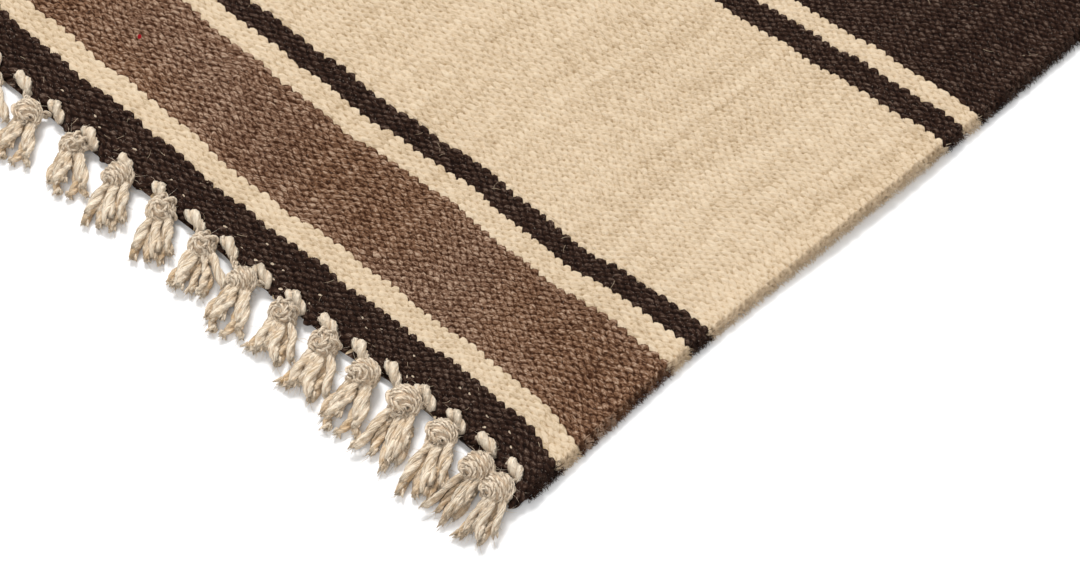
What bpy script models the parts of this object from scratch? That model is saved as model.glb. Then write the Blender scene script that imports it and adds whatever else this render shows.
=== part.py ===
"""Flat-woven kilim rug with knotted tassels at both ends.

Metres, +Z up. The weft runs along X and the warp along Y. The origin is on the floor, under the middle of
the rug. The rug is the same from both ends: each edge repeats the opposite one after half a turn about Z.
"""

import math
from collections import namedtuple

import bmesh
import bpy
from mathutils import Matrix, Vector

# --- Weave ---------------------------------------------------------------------------------------------
WARP_PITCH = 0.0024          # between neighbouring warps, along X
WARP_COUNT = 312
PICK_PITCH = 0.0013          # between neighbouring weft rows, along Y
PICK_COUNT = 814
CLOTH_THICKNESS = 0.0034

WIDTH = WARP_COUNT * WARP_PITCH
LENGTH = PICK_COUNT * PICK_PITCH

# --- Ends ----------------------------------------------------------------------------------------------
SEAT_GAP = 0.0003            # between the cloth's end and the twisted edge that holds the tassels
EDGE_DEPTH = 0.0027          # of the twisted edge, along Y
EDGE_HEIGHT = 0.0030
CLOTH_LENGTH = LENGTH - 2 * (SEAT_GAP + EDGE_DEPTH)

# --- Loops and tassels ---------------------------------------------------------------------------------
Row = namedtuple("Row", "count shift sway place")

LOOP_ROW = Row(count=48, shift=0.0030, sway=0.0066, place=0.95)     # yarn loops along the twisted edge
KNOT_ROW = Row(count=40, shift=0.0090, sway=0.0085, place=0.97)     # knots, which gather the loops' yarn
SWAY_PERIOD = 0.5            # of the bunching along a row, as a share of the width
ROW_MARGIN = 0.0080          # from a selvedge to the nearest loop or knot, at least

LOOP_HALF = (0.0048, 0.0019, 0.0028)    # half sizes of the yarn loop that lies on the edge
LOOP_RISE = 0.0032           # of the loop's middle, over the edge's underside
LOOP_OUT = 0.0008            # of the loop's middle, from the edge's middle line
KNOT_RADIUS = 0.0047
KNOT_OUT = 0.0072            # from the edge's middle line to the knot's middle
KNOT_SIDES = 8
KNOT_RINGS = 4
STEM_RADIUS = 0.0012         # half the thickness of the four-sided stem where it joins the edge
LOCKS_PER_TASSEL = 3
LOCK_OUT = 0.0205            # from the knot's middle to a lock's tip
LOCK_LEAN = 0.0105           # sideways, over the same length
LOCK_SPREAD = 0.0042         # between neighbouring locks
LOCK_RADIUS = 0.0018         # half the thickness of a four-sided lock at its belly
LOCK_TIP_RADIUS = 0.0010
LOCK_BELLY = 0.5             # where the belly lies, as a share of the lock's length
LOCK_ROOM = 0.0155           # between knots that leaves room for locks of full width

Drift = namedtuple("Drift", "size salt")

PLACE_DRIFT = Drift(size=0.0006, salt=1)     # of a loop or tassel along the edge
KNOT_DRIFT = Drift(size=0.0012, salt=2)      # of a knot away from the edge
LEAN_DRIFT = Drift(size=0.18, salt=4)        # as a share of the lean
LOCK_DRIFT = Drift(size=0.12, salt=5)        # as a share of a lock's length, with a salt for each lock

# --- Unevenness ----------------------------------------------------------------------------------------
Wave = namedtuple("Wave", "height length phase")

CORNER_DROP = 0.0040         # how far each end's corners reach out past the tassels' line
CORNER_REACH = 0.0110        # how far in from a selvedge that reach fades

SELVEDGE_WAVES = (
    Wave(height=0.0012, length=0.310, phase=0.9),
    Wave(height=0.0007, length=0.173, phase=2.3),
)
END_WAVES = (
    Wave(height=0.0012, length=0.270, phase=0.4),
    Wave(height=0.0006, length=0.141, phase=1.7),
)
LIFT_WAVE = Wave(height=0.0016, length=0.196, phase=0.6)
LIFT_REACH = 0.034           # how far in from a selvedge the cloth leaves the floor

COLUMNS = 20                 # grid cells across the rug, closer together towards the selvedges
ROWS = 28                    # grid cells along the rug, closer together towards the ends

Yarn = namedtuple("Yarn", "colour roughness metallic")

WOOL = Yarn(colour=(0.74, 0.57, 0.39, 1.0), roughness=0.95, metallic=0.0)
FRINGE_YARN = Yarn(colour=(0.60, 0.46, 0.32, 1.0), roughness=0.95, metallic=0.0)


def clear_scene():
    """Remove every object that the scene starts with."""
    for item in list(bpy.data.objects):
        bpy.data.objects.remove(item, do_unlink=True)


def make_collection(name):
    """Return a new collection linked to the scene."""
    group = bpy.data.collections.new(name)
    bpy.context.scene.collection.children.link(group)
    return group


def make_material(name, yarn):
    """Return a Principled material for a yarn."""
    material = bpy.data.materials.new(name)
    material.use_nodes = True
    shader = material.node_tree.nodes["Principled BSDF"]
    shader.inputs["Base Color"].default_value = yarn.colour
    shader.inputs["Roughness"].default_value = yarn.roughness
    shader.inputs["Metallic"].default_value = yarn.metallic
    return material


def move_to(item, group):
    """Put an object in one collection only."""
    for owner in list(item.users_collection):
        owner.objects.unlink(item)
    group.objects.link(item)


def wave_sum(waves, along):
    """Return the sideways wander of an edge at a place along it."""
    return sum(w.height * math.sin(2 * math.pi * along / w.length + w.phase) for w in waves)


def close_set(step):
    """Spread an even run from -1 to 1 so that its steps are closer together towards both ends."""
    return math.sin(0.5 * math.pi * step)


def selvedge_x(side, y):
    """Return where the selvedge on one side (-1 or 1) stands at y."""
    return side * (WIDTH / 2 + wave_sum(SELVEDGE_WAVES, side * y))


def end_y(side, half_length, x):
    """Return where a cross line at half_length from the middle stands at x."""
    drop = CORNER_DROP * math.exp(-(WIDTH / 2 - abs(x)) / CORNER_REACH)
    return side * (half_length + drop + wave_sum(END_WAVES, side * x))


def lift(x, y):
    """Return how far the cloth's underside is off the floor: only near a selvedge, in long low humps."""
    inward = WIDTH / 2 - abs(x)
    nearness = max(0.0, 1.0 - inward / LIFT_REACH)
    turn = 2 * math.pi * math.copysign(1.0, x) * y / LIFT_WAVE.length + LIFT_WAVE.phase
    return LIFT_WAVE.height * nearness ** 2 * max(0.0, math.sin(turn))


def solid_sheet(name, columns, rows, place, thickness, group):
    """Make a closed sheet: a grid whose points are placed by a function, thickened upwards.

    place takes a grid point, from -1 to 1 each way, and returns the point on the underside.
    """
    bpy.ops.mesh.primitive_grid_add(x_subdivisions=columns, y_subdivisions=rows, size=2)
    sheet = bpy.context.object
    sheet.name = name
    sheet.data.name = name
    for vertex in sheet.data.vertices:
        vertex.co = place(vertex.co.x, vertex.co.y)
    solidify = sheet.modifiers.new("thickness", "SOLIDIFY")
    solidify.thickness = thickness
    solidify.offset = 1.0
    move_to(sheet, group)
    return sheet


def place_cloth(across, along):
    """Return the underside point of the cloth for a grid point."""
    flat_x = close_set(across) * WIDTH / 2
    flat_y = close_set(along) * CLOTH_LENGTH / 2
    side_x = math.copysign(1.0, across)
    side_y = math.copysign(1.0, along)
    x = abs(close_set(across)) * selvedge_x(side_x, flat_y)
    y = abs(close_set(along)) * end_y(side_y, CLOTH_LENGTH / 2, flat_x)
    return (x, y, lift(flat_x, flat_y))


def place_edge(across, along):
    """Return the underside point of the front end's twisted edge for a grid point."""
    flat_x = close_set(across) * WIDTH / 2
    outer = LENGTH / 2
    inner = outer - EDGE_DEPTH
    half_length = outer + (inner - outer) * (along + 1) / 2
    x = abs(close_set(across)) * selvedge_x(math.copysign(1.0, across), -CLOTH_LENGTH / 2)
    return (x, end_y(-1.0, half_length, flat_x), lift(flat_x, -CLOTH_LENGTH / 2))


def drift(index, kind, member=0):
    """Return how far one tassel, or one member of it, strays from the even place, the same on every run."""
    return kind.size * math.sin(12.9898 * (index + 1) + 78.233 * (kind.salt + member))


def row_places(row):
    """Return the X of each member of a row of loops or knots."""
    places = []
    for index in range(row.count):
        share = (index + 0.5) / row.count
        bunching = row.sway * math.sin(2 * math.pi * (row.place - share) / SWAY_PERIOD)
        x = WIDTH * (share - 0.5) + row.shift + bunching + drift(index, PLACE_DRIFT)
        places.append(min(x, WIDTH / 2 - ROW_MARGIN))
    return places


def edge_middle(x):
    """Return the Y of the front twisted edge's middle line."""
    return end_y(-1.0, LENGTH / 2 - EDGE_DEPTH / 2, x)


def nearest_face(faces, direction):
    """Return the face whose outward direction is closest to the one asked for."""
    return max(faces, key=lambda face: face.normal.dot(direction))


def draw_out(mesh, face, centre, radius):
    """Extrude a four-sided face into the next section of a strand, and return its new end.

    The new end is a square across Y, with its sides level and upright, so a strand rests flat.
    """
    side = Vector((-face.normal.y, face.normal.x, 0.0))
    end = bmesh.ops.extrude_discrete_faces(mesh, faces=[face])["faces"][0]
    middle = end.calc_center_median()
    for vertex in end.verts:
        offset = vertex.co - middle
        across = math.copysign(radius, offset.dot(side) * side.x)
        up = math.copysign(radius, offset.z)
        vertex.co = centre + Vector((across, 0.0, up))
    end.normal_update()
    return end


def brush_reach(index):
    """Return how far a tassel's brush reaches sideways and outwards from its knot's middle."""
    return LOCK_LEAN * (1 + drift(index, LEAN_DRIFT)), LOCK_OUT


def add_lock(mesh, root, index, lock, centre, width):
    """Draw one lock out of a knot's face, down to the floor and out to its tip.

    width is the locks' width and spread, as a share of the full one.
    """
    place = lock - (LOCKS_PER_TASSEL - 1) / 2
    lean, out = brush_reach(index)
    stretch = 1 + drift(index, LOCK_DRIFT, lock)
    side = centre.x + place * LOCK_SPREAD * width
    half_way = LOCK_BELLY * stretch
    radius = LOCK_RADIUS * width
    tip_radius = LOCK_TIP_RADIUS * width
    belly = Vector((side + half_way * lean, centre.y - half_way * out, radius))
    tip = Vector((side + stretch * lean, centre.y - stretch * out, tip_radius))
    end = draw_out(mesh, root, belly, radius)
    draw_out(mesh, end, tip, tip_radius)


def add_loop(mesh, x):
    """Add a yarn loop that lies along the edge, sunk into it."""
    y = edge_middle(x)
    middle = Vector((x, y - LOOP_OUT, lift(x, y) + LOOP_RISE))
    shape = Matrix.Translation(middle) @ Matrix.Diagonal((*LOOP_HALF, 1.0))
    bmesh.ops.create_icosphere(mesh, subdivisions=1, radius=1.0, matrix=shape)


def add_tassel(mesh, index, x, room):
    """Add one tassel: a knot on the floor, a stem back into the edge, and its locks.

    room is the distance to the nearest knot on either side.
    """
    y = edge_middle(x)
    centre = Vector((x, y - KNOT_OUT - drift(index, KNOT_DRIFT), KNOT_RADIUS))
    lean, reach = brush_reach(index)
    heading = math.atan2(lean, reach)
    side_angle = 2 * math.pi / KNOT_SIDES
    ball = Matrix.Translation(centre) @ Matrix.Rotation(heading + side_angle / 2, 4, "Z")
    made = bmesh.ops.create_uvsphere(
        mesh, u_segments=KNOT_SIDES, v_segments=KNOT_RINGS, radius=KNOT_RADIUS, matrix=ball
    )
    mesh.normal_update()
    faces = {face for vertex in made["verts"] for face in vertex.link_faces if len(face.verts) == 4}
    stem_root = nearest_face(faces, Vector((0.0, 1.0, -0.5)))
    lock_roots = []
    for lock in range(LOCKS_PER_TASSEL):
        angle = heading + (lock - (LOCKS_PER_TASSEL - 1) / 2) * side_angle
        lock_roots.append(nearest_face(faces, Vector((math.sin(angle), -math.cos(angle), -0.5))))
    draw_out(mesh, stem_root, Vector((x, y, lift(x, y) + EDGE_HEIGHT / 2)), STEM_RADIUS)
    for lock, root in enumerate(lock_roots):
        add_lock(mesh, root, index, lock, centre, min(1.0, room / LOCK_ROOM))


def add_loops(mesh):
    """Add the loops of the front end."""
    for x in row_places(LOOP_ROW):
        add_loop(mesh, x)


def add_tassels(mesh):
    """Add the tassels of the front end."""
    places = row_places(KNOT_ROW)
    gaps = [after - before for before, after in zip(places, places[1:])]
    for index, x in enumerate(places):
        add_tassel(mesh, index, x, min(gaps[max(0, index - 1):index + 1]))


def forms_of(name, add, group):
    """Make one mesh of separate closed forms, which a function adds."""
    mesh = bpy.data.meshes.new(name)
    builder = bmesh.new()
    add(builder)
    builder.to_mesh(mesh)
    builder.free()
    forms = bpy.data.objects.new(name, mesh)
    group.objects.link(forms)
    return forms


def fuse(base, other):
    """Join another object's solid to a base object with a Boolean."""
    union = base.modifiers.new("fuse_" + other.name, "BOOLEAN")
    union.operation = "UNION"
    union.solver = "EXACT"
    union.object = other


def hide_guides(group):
    """Mark every object in a collection as a guide, which isn't part of the rug."""
    for guide in group.objects:
        guide.hide_render = True
        guide.display_type = "WIRE"


def make_fringes(group, guides):
    """Make the front fringe, and the back one from the same mesh after half a turn about Z."""
    form = solid_sheet("fringe_form", COLUMNS, 1, place_edge, EDGE_HEIGHT, guides)
    fuse(form, forms_of("loops", add_loops, guides))
    fuse(form, forms_of("tassels", add_tassels, guides))
    hide_guides(guides)
    graph = bpy.context.evaluated_depsgraph_get()
    mesh = bpy.data.meshes.new_from_object(form.evaluated_get(graph))
    mesh.name = "fringe"
    mesh.materials.clear()
    mesh.materials.append(make_material("fringe_yarn", FRINGE_YARN))
    for name, turn in (("fringe_front", 0.0), ("fringe_back", math.pi)):
        fringe = bpy.data.objects.new(name, mesh)
        fringe.rotation_euler.z = turn
        group.objects.link(fringe)


def main():
    """Build the rug's cloth and its two fringes."""
    clear_scene()
    rug = make_collection("kilim_rug")
    guides = make_collection("guides")
    cloth = solid_sheet("rug_cloth", COLUMNS, ROWS, place_cloth, CLOTH_THICKNESS, rug)
    cloth.data.materials.append(make_material("wool", WOOL))
    make_fringes(rug, guides)


main()
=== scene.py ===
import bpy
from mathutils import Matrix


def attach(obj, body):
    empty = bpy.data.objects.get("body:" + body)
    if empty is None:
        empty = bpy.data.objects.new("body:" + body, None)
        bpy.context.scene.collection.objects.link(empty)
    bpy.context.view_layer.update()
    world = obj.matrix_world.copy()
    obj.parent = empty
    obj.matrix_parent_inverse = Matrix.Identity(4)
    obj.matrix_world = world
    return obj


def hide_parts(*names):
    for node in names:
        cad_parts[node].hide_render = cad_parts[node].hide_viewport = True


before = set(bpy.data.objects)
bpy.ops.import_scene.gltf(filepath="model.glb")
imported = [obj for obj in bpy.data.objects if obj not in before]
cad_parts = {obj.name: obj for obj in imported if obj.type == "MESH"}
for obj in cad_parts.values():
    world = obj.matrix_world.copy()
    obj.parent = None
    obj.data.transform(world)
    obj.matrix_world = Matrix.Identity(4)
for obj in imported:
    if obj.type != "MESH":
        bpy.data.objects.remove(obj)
"""The looks of a flat-woven wool kilim rug with knotted tassels at both ends.

Metres, +Z up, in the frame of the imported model. The weft runs along X and the warp along Y. The cloth is laid
flat on the floor, and everything at the back end repeats the front end after half a turn about Z.
"""

import logging
import math
import random
from collections.abc import Callable
from dataclasses import dataclass, field
from enum import Enum

import bpy
import numpy as np
from mathutils import Matrix, Vector

log = logging.getLogger("kilim")

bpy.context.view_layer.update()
MM = 0.001

Pair = tuple[float, float]
Triple = tuple[float, float, float]
Colour = tuple[float, float, float, float]


# --- Working in Blender --------------------------------------------------------------------------------


def deselect_all() -> None:
    """Leave nothing selected, in object mode."""
    if bpy.context.object and bpy.context.object.mode != "OBJECT":
        bpy.ops.object.mode_set(mode="OBJECT")
    bpy.ops.object.select_all(action="DESELECT")


def select_only(item: bpy.types.Object) -> None:
    """Select one object and make it active."""
    deselect_all()
    item.select_set(True)
    bpy.context.view_layer.objects.active = item


def join_all(items: list[bpy.types.Object], name: str) -> bpy.types.Object:
    """Join several mesh objects into one.

    Args:
        items: The objects, which are used up.
        name: The name of the joined object and its mesh.

    Returns:
        The joined object.
    """
    select_only(items[0])
    for item in items:
        item.select_set(True)
    if len(items) > 1:
        bpy.ops.object.join()
    joined = bpy.context.object
    joined.name = name
    joined.data.name = name
    return joined


def coordinates(mesh: bpy.types.Mesh) -> np.ndarray:
    """Return a mesh's points, one row each."""
    flat = np.empty(len(mesh.vertices) * 3, dtype=np.float32)
    mesh.vertices.foreach_get("co", flat)
    return flat.reshape(-1, 3).astype(np.float64)


def set_coordinates(mesh: bpy.types.Mesh, points: np.ndarray) -> None:
    """Place a mesh's points, one row each."""
    mesh.vertices.foreach_set("co", points.astype(np.float32).ravel())
    mesh.update()


def set_attribute(mesh: bpy.types.Mesh, name: str, values: np.ndarray) -> None:
    """Store one number, or one vector, for each point of a mesh.

    Args:
        mesh: The mesh.
        name: The attribute's name.
        values: One value, or one row of three, for each point.
    """
    if values.ndim == 1:
        layer = mesh.attributes.new(name, "FLOAT", "POINT")
        layer.data.foreach_set("value", values.astype(np.float32))
    else:
        layer = mesh.attributes.new(name, "FLOAT_VECTOR", "POINT")
        layer.data.foreach_set("vector", values.astype(np.float32).ravel())


def close_mesh(merge: float = 0.0) -> None:
    """Fill the active object's open ends and turn its faces outwards.

    Args:
        merge: The distance under which points are merged first, if any are.
    """
    bpy.ops.object.mode_set(mode="EDIT")
    bpy.ops.mesh.select_mode(type="VERT")
    bpy.ops.mesh.select_all(action="SELECT")
    if merge:
        bpy.ops.mesh.remove_doubles(threshold=merge)
    bpy.ops.mesh.select_all(action="DESELECT")
    bpy.ops.mesh.select_non_manifold()
    bpy.ops.mesh.fill_holes(sides=0)
    bpy.ops.mesh.select_all(action="SELECT")
    bpy.ops.mesh.normals_make_consistent(inside=False)
    bpy.ops.object.mode_set(mode="OBJECT")


def smooth_step(low: float, high: float, value: np.ndarray) -> np.ndarray:
    """Rise smoothly from 0 at low to 1 at high."""
    share = np.clip((value - low) / (high - low), 0.0, 1.0)
    return share * share * (3.0 - 2.0 * share)


def single(measure: Callable[[np.ndarray, np.ndarray], np.ndarray], x: float, y: float) -> float:
    """Return what a measure of the cloth says at a single place."""
    return float(measure(np.array(x), np.array(y)))


# --- Shader maths --------------------------------------------------------------------------------------


@dataclass(frozen=True)
class Value:
    """A number or colour that changes over a surface: a socket, with the arithmetic of shader maths."""

    board: "Board"
    socket: bpy.types.NodeSocket

    def __add__(self, other: "Value | float") -> "Value":
        """Return self + other."""
        return self.board.maths("ADD", self, other)

    __radd__ = __add__

    def __sub__(self, other: "Value | float") -> "Value":
        """Return self - other."""
        return self.board.maths("SUBTRACT", self, other)

    def __rsub__(self, other: float) -> "Value":
        """Return other - self."""
        return self.board.maths("SUBTRACT", other, self)

    def __mul__(self, other: "Value | float") -> "Value":
        """Return self * other."""
        return self.board.maths("MULTIPLY", self, other)

    __rmul__ = __mul__

    def __gt__(self, other: "Value | float") -> "Value":
        """Return 1 where self is above other, and else 0."""
        return self.board.maths("GREATER_THAN", self, other)

    def __lt__(self, other: "Value | float") -> "Value":
        """Return 1 where self is below other, and else 0."""
        return self.board.maths("LESS_THAN", self, other)

    def nearest(self) -> "Value":
        """Return the nearest whole number."""
        return self.board.maths("ROUND", self)

    def root(self) -> "Value":
        """Return the square root."""
        return self.board.maths("SQRT", self)

    def sign(self) -> "Value":
        """Return -1, 0 or 1."""
        return self.board.maths("SIGN", self)

    def least(self, other: "Value | float") -> "Value":
        """Return the smaller of self and other."""
        return self.board.maths("MINIMUM", self, other)

    def most(self, other: "Value | float") -> "Value":
        """Return the larger of self and other."""
        return self.board.maths("MAXIMUM", self, other)

    def span(self, low: float, high: float, start: float = 0.0, end: float = 1.0) -> "Value":
        """Map low..high onto start..end, held at both ends."""
        names = ("Value", "From Min", "From Max", "To Min", "To Max")
        made = self.board.node(
            "ShaderNodeMapRange", {"clamp": True}, dict(zip(names, (self, low, high, start, end)))
        )
        return Value(self.board, made.outputs["Result"])


class Board:
    """A material's node tree, and the few ways in which nodes are added to it."""

    def __init__(self, name: str) -> None:
        """Start a material with a Principled shader on its output.

        Args:
            name: The material's name.
        """
        self.material = bpy.data.materials.new(name)
        self.material.use_nodes = True
        self.tree = self.material.node_tree
        self.shader = self.tree.nodes["Principled BSDF"]

    def node(self, kind: str, settings: dict, inputs: dict) -> bpy.types.Node:
        """Add a node.

        Args:
            kind: The node's type.
            settings: Its own settings, which are set first.
            inputs: A value or a Value for each socket, by name or number.

        Returns:
            The node.
        """
        made = self.tree.nodes.new(kind)
        for key, setting in settings.items():
            setattr(made, key, setting)
        for key, given in inputs.items():
            self.feed(made.inputs[key], given)
        return made

    def feed(self, socket: bpy.types.NodeSocket, given: "Value | float | tuple") -> None:
        """Link a Value to a socket, or set a constant on it."""
        if isinstance(given, Value):
            self.tree.links.new(given.socket, socket)
        else:
            socket.default_value = given

    def maths(self, operation: str, *values: "Value | float") -> Value:
        """Add a Math node and return its result."""
        made = self.node("ShaderNodeMath", {"operation": operation}, dict(enumerate(values)))
        return Value(self, made.outputs[0])

    def mix(self, factor: "Value | float", first: "Value | tuple", second: "Value | tuple") -> Value:
        """Return a colour between two colours."""
        made = self.node(
            "ShaderNodeMix", {"data_type": "RGBA", "clamp_factor": True}, {0: factor, 6: first, 7: second}
        )
        return Value(self, made.outputs[2])

    def scale_colour(self, colour: Value, amount: "Value | float") -> Value:
        """Return a colour made lighter or darker by an amount."""
        made = self.node("ShaderNodeVectorMath", {"operation": "SCALE"}, {0: colour, "Scale": amount})
        return Value(self, made.outputs[0])

    def vector(self, x: "Value | float", y: "Value | float", z: "Value | float" = 0.0) -> Value:
        """Return a vector of three values."""
        made = self.node("ShaderNodeCombineXYZ", {}, {0: x, 1: y, 2: z})
        return Value(self, made.outputs[0])

    def parts(self, vector: Value) -> tuple[Value, Value, Value]:
        """Return a vector's three values."""
        made = self.node("ShaderNodeSeparateXYZ", {}, {0: vector})
        return tuple(Value(self, socket) for socket in made.outputs)

    def attribute(self, name: str) -> tuple[Value, Value]:
        """Return a stored attribute as a vector and as a number."""
        made = self.node("ShaderNodeAttribute", {"attribute_name": name}, {})
        return Value(self, made.outputs["Vector"]), Value(self, made.outputs["Fac"])

    def noise(self, vector: Value, scale: float, detail: float = 2.0, roughness: float = 0.5) -> Value:
        """Return smooth noise, mostly from 0.3 to 0.7."""
        made = self.node(
            "ShaderNodeTexNoise",
            {"noise_dimensions": "3D"},
            {"Vector": vector, "Scale": scale, "Detail": detail, "Roughness": roughness},
        )
        return Value(self, made.outputs["Fac"])

    def chance(self, vector: Value) -> Value:
        """Return an even random number from 0 to 1 for each place."""
        made = self.node("ShaderNodeTexWhiteNoise", {"noise_dimensions": "3D"}, {"Vector": vector})
        return Value(self, made.outputs["Value"])

    def finish(self, colour: Value, roughness: Value, height: Value, depth: float, sheen: float) -> None:
        """Feed the shader.

        Args:
            colour: The base colour.
            roughness: The roughness.
            height: The bump's height, where 1 stands for depth.
            depth: The bump's depth, in metres.
            sheen: The sheen's weight.
        """
        bump = self.node("ShaderNodeBump", {}, {"Strength": 1.0, "Distance": depth, "Height": height})
        self.feed(self.shader.inputs["Base Color"], colour)
        self.feed(self.shader.inputs["Roughness"], roughness)
        self.feed(self.shader.inputs["Normal"], Value(self, bump.outputs["Normal"]))
        self.shader.inputs["Sheen Weight"].default_value = sheen
        self.shader.inputs["Sheen Roughness"].default_value = 0.5
        self.shader.inputs["Specular IOR Level"].default_value = 0.06


# --- The rug's shape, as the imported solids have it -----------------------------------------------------


@dataclass(frozen=True)
class Wave:
    """A slow wave along an edge."""

    height: float
    length: float
    phase: float

    def at(self, along: np.ndarray) -> np.ndarray:
        """Return the wave's height at places along it."""
        return self.height * np.sin(2 * math.pi * along / self.length + self.phase)


@dataclass(frozen=True)
class Spacing:
    """How many loops or knots stand along an end, and how they bunch towards the corners."""

    count: int
    shift: float
    sway: float
    place: float


@dataclass(frozen=True)
class RugShape:
    """The rug's outline, the way its selvedges lift, and the places along its ends."""

    warp_pitch: float = 0.0024
    warp_count: int = 312
    pick_pitch: float = 0.0013
    pick_count: int = 814
    thickness: float = 0.0034
    edge_depth: float = 0.0027
    sway_period: float = 0.5
    place_drift: float = 0.0006
    row_margin: float = 0.0080
    corner_drop: float = 0.0040
    corner_reach: float = 0.0110
    selvedge_waves: tuple[Wave, ...] = (Wave(0.0012, 0.310, 0.9), Wave(0.0007, 0.173, 2.3))
    end_waves: tuple[Wave, ...] = (Wave(0.0012, 0.270, 0.4), Wave(0.0006, 0.141, 1.7))
    lift_wave: Wave = Wave(0.0016, 0.196, 0.6)
    lift_reach: float = 0.034

    @property
    def width(self) -> float:
        """Return the cloth's flat width."""
        return self.warp_count * self.warp_pitch

    @property
    def length(self) -> float:
        """Return the cloth's flat length, with the twisted edges."""
        return self.pick_count * self.pick_pitch

    def side_stretch(self, x: np.ndarray, y: np.ndarray) -> np.ndarray:
        """Return how much a flat X is stretched to meet the wandering selvedge."""
        side = np.where(x < 0, -1.0, 1.0)
        wander = sum(wave.at(side * y) for wave in self.selvedge_waves)
        return 1.0 + wander / (self.width / 2)

    def end_stretch(self, x: np.ndarray, y: np.ndarray) -> np.ndarray:
        """Return how much a flat Y is stretched to meet the wandering end."""
        side = np.where(y < 0, -1.0, 1.0)
        drop = self.corner_drop * np.exp(-(self.width / 2 - np.abs(x)) / self.corner_reach)
        wander = sum(wave.at(side * x) for wave in self.end_waves)
        return 1.0 + (drop + wander) / (self.length / 2)

    def lift(self, x: np.ndarray, y: np.ndarray) -> np.ndarray:
        """Return how far the underside is off the floor."""
        inward = self.width / 2 - np.abs(x)
        nearness = np.maximum(0.0, 1.0 - inward / self.lift_reach)
        turn = 2 * math.pi * np.where(x < 0, -y, y) / self.lift_wave.length + self.lift_wave.phase
        return self.lift_wave.height * nearness**2 * np.maximum(0.0, np.sin(turn))

    def spread(self, spacing: Spacing) -> list[Vector]:
        """Return places along the front twisted edge's middle line.

        Args:
            spacing: The number of places and their bunching.

        Returns:
            Points on the floor, from left to right.
        """
        places = []
        for index in range(spacing.count):
            share = (index + 0.5) / spacing.count
            sway = spacing.sway * math.sin(2 * math.pi * (spacing.place - share) / self.sway_period)
            drift = self.place_drift * math.sin(12.9898 * (index + 1) + 78.233)
            x = self.width * (share - 0.5) + spacing.shift + sway + drift
            x = min(x, self.width / 2 - self.row_margin)
            y = -(self.length - self.edge_depth) / 2
            places.append(Vector((x, y * single(self.end_stretch, x, y), 0.0)))
        return places


LOOPS = Spacing(count=48, shift=0.0030, sway=0.0066, place=0.95)
KNOTS = Spacing(count=40, shift=0.0090, sway=0.0085, place=0.97)


# --- The weave -----------------------------------------------------------------------------------------


@dataclass(frozen=True)
class Stripes:
    """Which weft rows are dark or brown, counted from either end. The rest are cream."""

    dark: tuple[tuple[int, int], ...] = (
        (0, 14),
        (57, 64),
        (150, 158),
        (164, 250),
        (256, 264),
        (350, 358),
        (364, 450),
    )
    brown: tuple[tuple[int, int], ...] = ((21, 50),)

    def dark_at(self, row: np.ndarray, count: int) -> np.ndarray:
        """Return 1.0 for dark rows and 0.0 for others.

        Args:
            row: Whole row numbers.
            count: How many rows the rug has.
        """
        folded = np.minimum(row, count - 1 - row)
        return sum(((folded >= low) & (folded < high)).astype(float) for low, high in self.dark)


@dataclass(frozen=True)
class Ripple:
    """A wave over the cloth, whose crests run slantwise."""

    height: float
    across: float
    along: float
    phase: float = 0.0

    def at(self, x: np.ndarray, y: np.ndarray) -> np.ndarray:
        """Return the wave's height at places on the cloth."""
        return self.height * np.sin(x / self.across + y / self.along + self.phase)


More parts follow.
